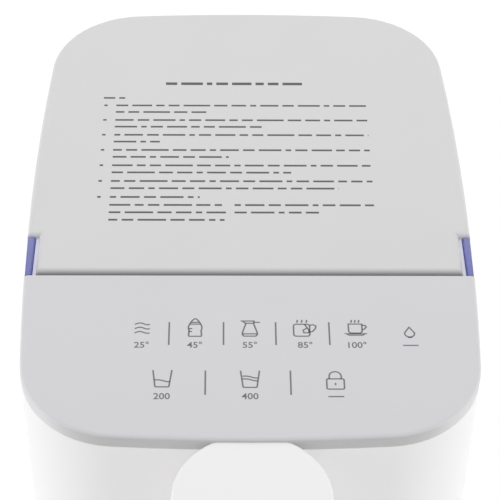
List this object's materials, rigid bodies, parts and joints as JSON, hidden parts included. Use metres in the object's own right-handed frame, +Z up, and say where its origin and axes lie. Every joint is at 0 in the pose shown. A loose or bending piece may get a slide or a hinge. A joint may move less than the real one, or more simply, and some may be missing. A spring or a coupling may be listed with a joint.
{
  "type": "instant hot water dispenser",
  "caption": "Countertop instant hot water dispenser with a touch panel, round spout head, lift-off rear tank with hinged lid, and slide-out drip tray",
  "frame": {"origin": "on the table plane under the feet, half way across and half way from the drip tray's front to the back wall", "axes": "+X to the right as seen from behind the machine's front looking at its back wall, that is to the right of a user facing it; +Y from the drip tray to the back wall; +Z up"},
  "size_m": [0.152, 0.279, 0.262],
  "materials": {
    "white_plastic": "moulded, satin gloss",
    "grey_plastic": "fine matte texture",
    "tank_plastic": "clear, blue tint",
    "inner_plastic": "moulded",
    "float_plastic": "moulded foam skin",
    "rubber": "matte",
    "silicone": "matte, milky",
    "steel": "brushed",
    "board": "solder mask",
    "led": "clear dome",
    "relay_case": "moulded",
    "sleeve": "shrink sleeve",
    "sink": "extruded"
  },
  "bodies": {
    "housing": {"base_pan": "white_plastic", "feet": "rubber", "base_screws": "steel", "cord_gland": "rubber", "front_housing": "white_plastic", "rear_housing": "white_plastic", "column_back": "white_plastic", "column_screws": "steel", "control_panel": "grey_plastic", "touch_board": "board", "touch_leds": "led", "board_screws": "steel", "spout_hood": "white_plastic", "spout_plate": "grey_plastic", "outlet_nozzle": "steel", "hood_screws": "steel", "heater_tube": "steel", "heater_base_cap": "inner_plastic", "heater_top_cap": "inner_plastic", "heater_bracket": "inner_plastic", "thermostat": "inner_plastic", "ntc_probe": "steel", "pump_housing": "inner_plastic", "pump_motor": "steel", "pump_mount": "rubber", "inlet_hose": "silicone", "heater_hose": "silicone", "outlet_hose": "silicone", "hose_clips": "steel", "power_board": "board", "relay": "relay_case", "capacitor": "sleeve", "triac_sink": "sink", "tank_dock": "inner_plastic", "dock_seal": "rubber", "level_sensor": "board"},
    "tank": {"water_tank": "tank_plastic", "valve_seat": "inner_plastic", "valve_cage": "inner_plastic", "float_clip": "inner_plastic", "lid_pin": "steel"},
    "lid": {"tank_lid": "grey_plastic", "lid_gasket": "silicone"},
    "valve": {"valve_plunger": "inner_plastic", "plunger_seal": "rubber", "valve_spring": "steel"},
    "float": {"level_float": "float_plastic", "float_magnet": "steel"},
    "tray": {"drip_tray": "grey_plastic"},
    "grid": {"drip_grid": "grey_plastic"},
    "pump_rotor": {"impeller": "inner_plastic", "motor_shaft": "steel"}
  },
  "joints": [
    {"name": "tank_lift", "type": "slide", "parent": "housing", "child": "tank", "axis": [0, 0, 1], "range_m": [0, 0.2]},
    {"name": "lid_hinge", "type": "hinge", "parent": "tank", "child": "lid", "pos_m": [0, 0.1332, 0.25685], "axis": [-1, 0, 0], "range_deg": [0, 100]},
    {"name": "valve_slide", "type": "slide", "parent": "tank", "child": "valve", "axis": [0, 0, -1], "range_m": [0, 0.0029], "deforming": ["valve_spring"]},
    {"name": "float_rise", "type": "slide", "parent": "tank", "child": "float", "axis": [0, 0, 1], "range_m": [0, 0.026]},
    {"name": "tray_slide", "type": "slide", "parent": "housing", "child": "tray", "axis": [0, -1, 0], "range_m": [0, 0.066]},
    {"name": "grid_lift", "type": "slide", "parent": "tray", "child": "grid", "axis": [0, 0, 1], "range_m": [0, 0.04]},
    {"name": "pump_spin", "type": "hinge", "parent": "housing", "child": "pump_rotor", "pos_m": [0.032, 0.0392, 0.032], "axis": [1, 0, 0], "continuous": true}
  ],
  "couplings": [
    {"joint": "valve_slide", "follows": "tank_lift", "ratio": 0.0145}
  ]
}
